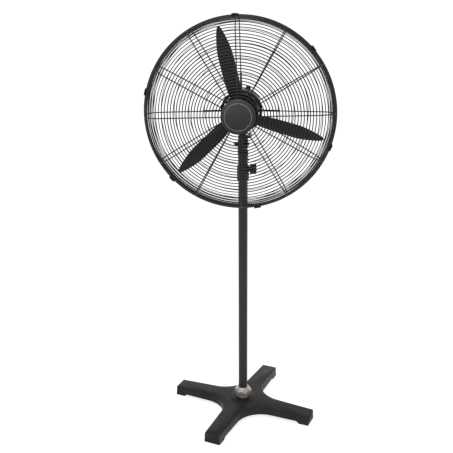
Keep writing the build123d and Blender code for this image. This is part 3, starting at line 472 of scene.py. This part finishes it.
oiled_bronze = Finish("oiled_bronze", (0.50, 0.34, 0.17), 0.42, 1.0)
pores = oiled_bronze.noise(1600.0, 3.0)
oiled_bronze.set(Roughness=oiled_bronze.clamp(pores, 0.3, 0.7, 0.34, 0.55))
oiled_bronze.bump(pores, 0.0001, 0.4)
repaint(oiled_bronze, "swivel_bush")


# ---- motor --------------------------------------------------------------------------
# A ribbed cast aluminium shell with an end shield at each face, enamelled black. Inside
# are a laminated core, its copper windings, and the rotor on the shaft.

shell_piece = eased_copy("ribbed_motor_shell", "motor_housing", 0.0005, 2)
fit(shell_piece, "head", "motor_paint", satin_casting, "motor_housing")
front_end_piece = eased_copy("front_end_shield", "motor_front_shield", 0.0008, 2)
fit(front_end_piece, "head", "motor_paint", satin_casting, "motor_front_shield")
repaint(satin_casting, "motor_rear_shield", "shield_screws", "neck_screw")

stacked_steel = Finish("stacked_steel", (0.20, 0.20, 0.21), 0.48, 0.9)
sheets = stacked_steel.node("ShaderNodeTexWave", {"bands_direction": "Y"},
                            {"Vector": stacked_steel.place, "Scale": 320.0})
stacked_steel.set(
    Base_Color=stacked_steel.mix(sheets, (0.12, 0.12, 0.125, 1), (0.26, 0.26, 0.27, 1)))
stacked_steel.bump(sheets, 0.0001, 0.5)
repaint(stacked_steel, "stator_core", "rotor_core")

wound_copper = Finish("wound_copper", (0.52, 0.22, 0.09), 0.34, 0.9)
strands = wound_copper.noise(500.0, 3.0, 0.5, wound_copper.stretched(1, 4, 1))
wound_copper.set(Roughness=wound_copper.clamp(strands, 0.3, 0.7, 0.26, 0.46))
wound_copper.bump(strands, 0.0004, 0.7)
repaint(wound_copper, "stator_windings")


# ---- rear cover and controls --------------------------------------------------------
# A moulded cap over the gearbox with a rounded rim, a pull knob on top for the swing,
# a pointer knob for the speed, and a gland where a lead would enter.

cover_plastic = Finish("cover_plastic", (0.022, 0.022, 0.022), 0.48)
leather_grain = cover_plastic.noise(650.0, 4.0, 0.55)
cover_plastic.set(
    Base_Color=cover_plastic.mix(cover_plastic.clamp(cover_plastic.noise(30.0), 0.35, 0.7),
                                 (0.019, 0.019, 0.019, 1), (0.028, 0.028, 0.028, 1)),
    Roughness=cover_plastic.clamp(leather_grain, 0.3, 0.7, 0.42, 0.58))
cover_plastic.bump(leather_grain, 0.0003, 0.5)
rear_cover_piece = eased_copy("rear_cover_cap", "rear_cover", 0.0006, 2)
fit(rear_cover_piece, "head", "case_plastic", cover_plastic, "rear_cover")
swing_piece = eased_copy("swing_pull_knob", "swing_knob", 0.0008, 3)
fit(swing_piece, "swing_button", "knob_plastic", knob_plastic, "swing_knob")
speed_piece = eased_copy("speed_pointer_knob", "speed_knob", 0.0010, 3)
fit(speed_piece, "speed_control", "knob_plastic", knob_plastic, "speed_knob")
gland_piece = eased_copy("lead_gland", "cord_gland", 0.0008, 2)
fit(gland_piece, "head", "case_plastic", cover_plastic, "cord_gland")
repaint(cover_plastic, "gearbox_case", "gearbox_lid", "capacitor", "speed_switch")


# ---- slotted rear plate -------------------------------------------------------------
# A pressed steel disc bolted to the motor, which carries the rear guard's wires. Two
# rows of slots are punched through it.

wire_powder = Finish("wire_powder", (0.020, 0.0188, 0.0180), 0.42, Specular_IOR_Level=0.3)
coat = wire_powder.noise(700.0, 3.0, 0.55)
wire_powder.set(
    Base_Color=wire_powder.mix(wire_powder.clamp(wire_powder.noise(12.0), 0.35, 0.7),
                               (0.014, 0.0133, 0.0127, 1), (0.022, 0.0206, 0.0198, 1)),
    Roughness=wire_powder.clamp(coat, 0.3, 0.7, 0.36, 0.50))
wire_powder.bump(coat, 0.0003, 0.4)
plate_piece = eased_copy("slotted_rear_plate", "rear_plate", 0.0004, 2)
fit(plate_piece, "head", "guard_wire", wire_powder, "rear_plate")
repaint(wire_powder, "plate_screws")


# ---- rear guard ---------------------------------------------------------------------
# Twelve ribs run from the slotted plate to the hoop, with four flat struts. Rings are
# welded inside the ribs: four in the open area, and seven close together on its side.

hoop_low, hoop_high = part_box("rim_band")
AXIS_Z = (hoop_low.z + hoop_high.z) / 2
HOOP_R = (hoop_high.x - hoop_low.x) / 2
front_edge_y = hoop_low.y - 0.0027
EDGE_WIRE, RING_WIRE, RIB_WIRE = 0.0025, 0.0020, 0.0021
EDGE_R = 0.3536
RIBS = 12


def wire_piece(name):
    """An empty mesh, open in edit mode, for wires to be added to."""
    pick_none()
    mesh = bpy.data.meshes.new(name)
    piece = bpy.data.objects.new(name, mesh)
    bpy.context.scene.collection.objects.link(piece)
    edit(piece)
    return piece


def bend_ring(radius, y, wire, sides=8):
    """A round wire section spun about the motor axis into a closed ring."""
    steps = max(48, int(64 + 260 * radius))
    bpy.ops.mesh.select_all(action="DESELECT")
    bpy.ops.mesh.primitive_circle_add(vertices=sides, radius=wire, location=(radius, y, AXIS_Z))
    bpy.ops.mesh.spin(steps=steps, angle=2 * pi, center=(0, y, AXIS_Z), axis=(0, 1, 0))


def closed_wires(weld=0.00003):
    bpy.ops.mesh.select_all(action="SELECT")
    bpy.ops.mesh.remove_doubles(threshold=weld)
    bpy.ops.mesh.normals_make_consistent(inside=False)
    piece = done()
    pick(piece)
    bpy.ops.object.shade_smooth()
    return piece


def turned_copies(piece, angles):
    """Copies of a piece turned about the motor axis, joined into it."""
    centre = Matrix.Translation((0, 0, AXIS_Z))
    copies = []
    for angle in angles:
        copy = bpy.data.objects.new(piece.name, piece.data.copy())
        bpy.context.scene.collection.objects.link(copy)
        turn = Matrix.Rotation(-radians(angle), 4, "Y")
        copy.data.transform(centre @ turn @ centre.inverted())
        copies.append(copy)
    bpy.data.objects.remove(piece)
    pick(*copies)
    if len(copies) > 1:
        bpy.ops.object.join()
    return copies[0]


REAR_TURN = 0.8
rear_edge_y = front_edge_y + 2 * EDGE_WIRE + (hoop_high.y - hoop_low.y) + 0.0006
BOWL_R, BOWL_TURN = 0.046, radians(82)
bowl_centre = EDGE_R - BOWL_R


def bowl(turn, lift=0.0):
    """(radius, y) on the shoulder of the rear guard."""
    return bowl_centre + (BOWL_R + lift) * cos(turn), rear_edge_y + (BOWL_R + lift) * sin(turn)


def cone(radius, lift=0.0):
    """y of the rear guard's shallow cone at a radius."""
    r_end, y_end = bowl(BOWL_TURN, lift)
    return y_end + (r_end - radius) * cos(BOWL_TURN) / sin(BOWL_TURN)


INSIDE = RING_WIRE + RIB_WIRE
SIDE_PITCH = 0.0064
SIDE_WIRE, OPEN_WIRE = RING_WIRE * 0.6, RING_WIRE * 0.5
rear_rings = wire_piece("rear_guard_rings")
bend_ring(EDGE_R, rear_edge_y, EDGE_WIRE, 10)
for k in range(1, 8):
    bend_ring(*bowl(k * SIDE_PITCH / BOWL_R, -INSIDE), SIDE_WIRE)
for radius in (0.141, 0.200, 0.255, 0.305):
    bend_ring(radius, cone(radius) - INSIDE, OPEN_WIRE)
rear_rings = closed_wires()


def cap_ends():
    bpy.ops.mesh.select_all(action="DESELECT")
    bpy.ops.mesh.select_non_manifold()
    bpy.ops.mesh.edge_face_add()


rear_rib = wire_piece("rear_guard_ribs")
start_turn = radians(degrees((EDGE_WIRE + RIB_WIRE) / BOWL_R) * 0.55)
r_bend, y_bend = bowl(BOWL_TURN)
r_inner = 0.072
run = Vector((r_inner - r_bend, cone(r_inner) - y_bend, 0))
bpy.ops.mesh.primitive_circle_add(vertices=10, radius=RIB_WIRE, location=(r_bend, y_bend, AXIS_Z),
                                  rotation=(0, pi / 2, BOWL_TURN + pi / 2))
bpy.ops.mesh.spin(steps=14, angle=BOWL_TURN - start_turn, axis=(0, 0, 1),
                  center=(bowl_centre, rear_edge_y, AXIS_Z))
bpy.ops.mesh.select_all(action="DESELECT")
bpy.ops.mesh.primitive_circle_add(vertices=10, radius=RIB_WIRE, location=(r_bend, y_bend, AXIS_Z),
                                  rotation=(0, pi / 2, BOWL_TURN + pi / 2))
bpy.ops.mesh.extrude_region_move(TRANSFORM_OT_translate={"value": run})
bpy.ops.mesh.select_all(action="SELECT")
bpy.ops.mesh.remove_doubles(threshold=0.00001)
cap_ends()
rear_rib = closed_wires(0.000001)
rear_ribs = turned_copies(rear_rib, [REAR_TURN + 360 * k / RIBS for k in range(RIBS)])
rear_ribs.name = "rear_guard_ribs"

pick_none()
r_in, r_out = 0.074, 0.145
bpy.ops.mesh.primitive_cube_add(size=1, location=((r_in + r_out) / 2,
                                                  (cone(r_in) + cone(r_out)) / 2 + 0.0035, AXIS_Z))
strut = bpy.context.object
strut.name = "rear_guard_struts"
strut.scale = (r_out - r_in, 0.0024, 0.0076)
strut.rotation_euler = (0, 0, -asin((cone(r_in) - cone(r_out)) / (r_out - r_in)))
bpy.ops.object.transform_apply(location=True, rotation=True, scale=True)
easing(strut, 0.0006)
struts = turned_copies(strut, [REAR_TURN + 90 * k for k in range(4)])
struts.name = "rear_guard_struts"

for wires in (rear_rings, rear_ribs, struts):
    fit(wires, "head", "guard_wire", wire_powder, "rear_guard")


# ---- hoop and its clips -------------------------------------------------------------
# A channel rolled from 1.5 mm sheet clasps the edge wires of both guards, and six
# pressed clips hold the guards to it.

y0, y1 = hoop_low.y, hoop_high.y
LIP, SHEET = HOOP_R - 0.0105, 0.0015
hoop_piece = lathe("rolled_hoop", [
    (LIP, -y0), (HOOP_R - 0.0022, -y0), (HOOP_R - 0.0007, -y0 - 0.0007), (HOOP_R, -y0 - 0.0022),
    (HOOP_R, -y1 + 0.0022), (HOOP_R - 0.0007, -y1 + 0.0007), (HOOP_R - 0.0022, -y1), (LIP, -y1),
    (LIP, -y1 + SHEET), (HOOP_R - SHEET - 0.001, -y1 + SHEET),
    (HOOP_R - SHEET - 0.001, -y0 - SHEET),
    (LIP, -y0 - SHEET)], 180, (0, 0, AXIS_Z), (pi / 2, 0, 0))
easing(hoop_piece, 0)
fit(hoop_piece, "head", "guard_wire", wire_powder, "rim_band")
clip_piece = eased_copy("hoop_clips", "guard_clips", 0.0005, 2)
fit(clip_piece, "head", "guard_wire", wire_powder, "guard_clips")


# ---- front guard --------------------------------------------------------------------
# Twenty-seven round wire rings are welded to twelve ribs that follow a flat face and a
# rounded shoulder. The ribs meet at a steel disc behind the badge.

PAN_FLAT, PAN_ELBOW, PAN_TURN = 0.290, 0.072, radians(62)
PAN_DEPTH = PAN_ELBOW * (1 - cos(PAN_TURN))
FRONT_TURN = 1.8
SHOULDER_WIRE = 0.0017
FRONT_RINGS, FIRST_RING, RING_PITCH = 27, 0.0743, 0.01108


def pan(run, lift=0.0):
    """(radius, y) on the front guard at a distance from its axis along the profile."""
    if run <= PAN_FLAT:
        return run, front_edge_y - PAN_DEPTH - lift
    a = (run - PAN_FLAT) / PAN_ELBOW
    return (PAN_FLAT + (PAN_ELBOW + lift) * sin(a),
            front_edge_y - PAN_DEPTH + PAN_ELBOW - (PAN_ELBOW + lift) * cos(a))


front_rings = wire_piece("front_guard_rings")
for k in range(FRONT_RINGS):
    run = FIRST_RING + k * RING_PITCH
    bend_ring(*pan(run), RING_WIRE if run < PAN_FLAT else SHOULDER_WIRE)
bend_ring(EDGE_R, front_edge_y, EDGE_WIRE, 10)
front_rings = closed_wires()

front_rib = wire_piece("front_guard_ribs")
face_y = pan(0.05, INSIDE)[1]
bpy.ops.mesh.primitive_circle_add(vertices=10, radius=RIB_WIRE, location=(0.05, face_y, AXIS_Z),
                                  rotation=(0, pi / 2, 0))
bpy.ops.mesh.extrude_region_move(TRANSFORM_OT_translate={"value": (PAN_FLAT - 0.05, 0, 0)})
bpy.ops.mesh.spin(steps=12, angle=-PAN_TURN * 0.9, axis=(0, 0, 1),
                  center=(PAN_FLAT, front_edge_y - PAN_DEPTH + PAN_ELBOW, AXIS_Z))
bpy.ops.mesh.select_all(action="SELECT")
bpy.ops.mesh.remove_doubles(threshold=0.00001)
cap_ends()
front_rib = closed_wires(0.000001)
front_ribs = turned_copies(front_rib, [FRONT_TURN + 360 * k / RIBS for k in range(RIBS)])
front_ribs.name = "front_guard_ribs"

disc_y = pan(0)[1] - RING_WIRE + 0.0001
disc_piece = lathe("front_guard_disc", [
    (0.060, -disc_y - 0.0003), (0.0597, -disc_y), (0.003, -disc_y), (0.003, -disc_y - 0.0015),
    (0.0597, -disc_y - 0.0015), (0.060, -disc_y - 0.0012)], 64, (0, 0, AXIS_Z), (pi / 2, 0, 0))
easing(disc_piece, 0)
for wires in (front_rings, front_ribs, disc_piece):
    fit(wires, "head", "guard_wire", wire_powder, "front_guard", "front_inner_rings")


# ---- blades and hub -----------------------------------------------------------------
# Three blades pressed from painted aluminium sheet, twisted and cambered, wide at a
# third of their length and pointed at the tip. Each is riveted to an arm of the hub.

blade_paint = Finish("blade_paint", (0.024, 0.0224, 0.0215), 0.48, Specular_IOR_Level=0.18)
blade_wave = blade_paint.noise(22.0, 2.0, 0.5)
blade_paint.set(
    Base_Color=blade_paint.mix(blade_paint.clamp(blade_wave, 0.35, 0.7),
                               (0.0220, 0.0205, 0.0196, 1), (0.0270, 0.0251, 0.0241, 1)),
    Roughness=blade_paint.clamp(blade_wave, 0.3, 0.7, 0.42, 0.52))
blade_paint.bump(blade_paint.noise(520.0, 3.0) * 0.3 + blade_wave, 0.0003, 0.4)
for k in (1, 2, 3):
    blade_piece = eased_copy(f"pressed_blade_{k}", f"blade_{k}", 0.0004, 2, 40.0)
    fit(blade_piece, "rotor", "blade_metal", blade_paint, f"blade_{k}")
hub_piece = eased_copy("three_arm_hub", "blade_hub", 0.0006, 2)
fit(hub_piece, "rotor", "motor_paint", satin_casting, "blade_hub")
repaint(blade_paint, "blade_rivets")


# ---- badge --------------------------------------------------------------------------
# A moulded cap over the guard's centre, domed, with a turned-down rim. It has
# no mark on it, only one thin printed line near its edge.

badge_low, badge_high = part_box("badge")
BADGE_R = (badge_high.x - badge_low.x) / 2
badge_gloss = Finish("badge_gloss", (0.024, 0.0225, 0.0225), 0.30, Specular_IOR_Level=0.3)
flow = badge_gloss.noise(40.0, 2.0)
badge_height = badge_gloss.node("ShaderNodeSeparateXYZ", {}, {"Vector": badge_gloss.place}, "Z")
# Painted reflection: the base colour runs from dark at the badge's bottom to lighter at its top,
# standing in for the overhead light the gloss dome reflects; the noise adds a random tone on top.
painted_reflection_by_height = badge_gloss.clamp(badge_height, AXIS_Z - BADGE_R * 0.8, AXIS_Z + BADGE_R * 0.8)
badge_gloss.set(
    Base_Color=badge_gloss.mix(painted_reflection_by_height + (flow - 0.5) * 0.25,
                               (0.008, 0.0073, 0.0069, 1), (0.040, 0.0378, 0.0387, 1)),
    Roughness=badge_gloss.clamp(flow, 0.3, 0.7, 0.30, 0.40))
badge_gloss.bump(flow, 0.0002, 0.2)
crown = -badge_low.y
DOME = ((0.0, 0.0), (0.010, 0.0001), (0.020, 0.0004), (0.031, 0.0010), (0.042, 0.0018),
        (0.050, 0.0028), (0.056, 0.0038), (0.060, 0.0046), (0.0625, 0.0056),
        (0.0640, 0.0065), (BADGE_R, 0.0078), (BADGE_R, 0.0090))
badge_back = crown - 0.0090
outline = [(0.0580, badge_back), *[(r, crown - drop) for r, drop in reversed(DOME)],
           (0.0, crown - 0.003), (0.052, badge_back + 0.002)]
badge_piece = lathe("domed_badge", outline, 96, (0, 0, AXIS_Z), (pi / 2, 0, 0))
easing(badge_piece, 0)
fit(badge_piece, "head", "badge_plastic", badge_gloss, "badge")

badge_print = Finish("badge_print", (0.42, 0.42, 0.42), 0.45, Specular_IOR_Level=0.3)
badge_print.set(Roughness=badge_print.clamp(badge_print.noise(300.0), 0.3, 0.7, 0.40, 0.55))
PRINT_R, PRINT_WIDE, PRINT_SINK = 0.050, 0.0005, 0.0028
pick_none()
bpy.ops.mesh.primitive_torus_add(major_radius=PRINT_R, minor_radius=PRINT_WIDE,
                                 major_segments=96, minor_segments=8, rotation=(pi / 2, 0, 0))
printed_ring = bpy.context.object
printed_ring.name = "badge_printed_ring"
printed_ring.location = (0, badge_low.y + PRINT_SINK, AXIS_Z)
bpy.ops.object.shade_smooth()
fit(printed_ring, "head", "badge_plastic", badge_print)
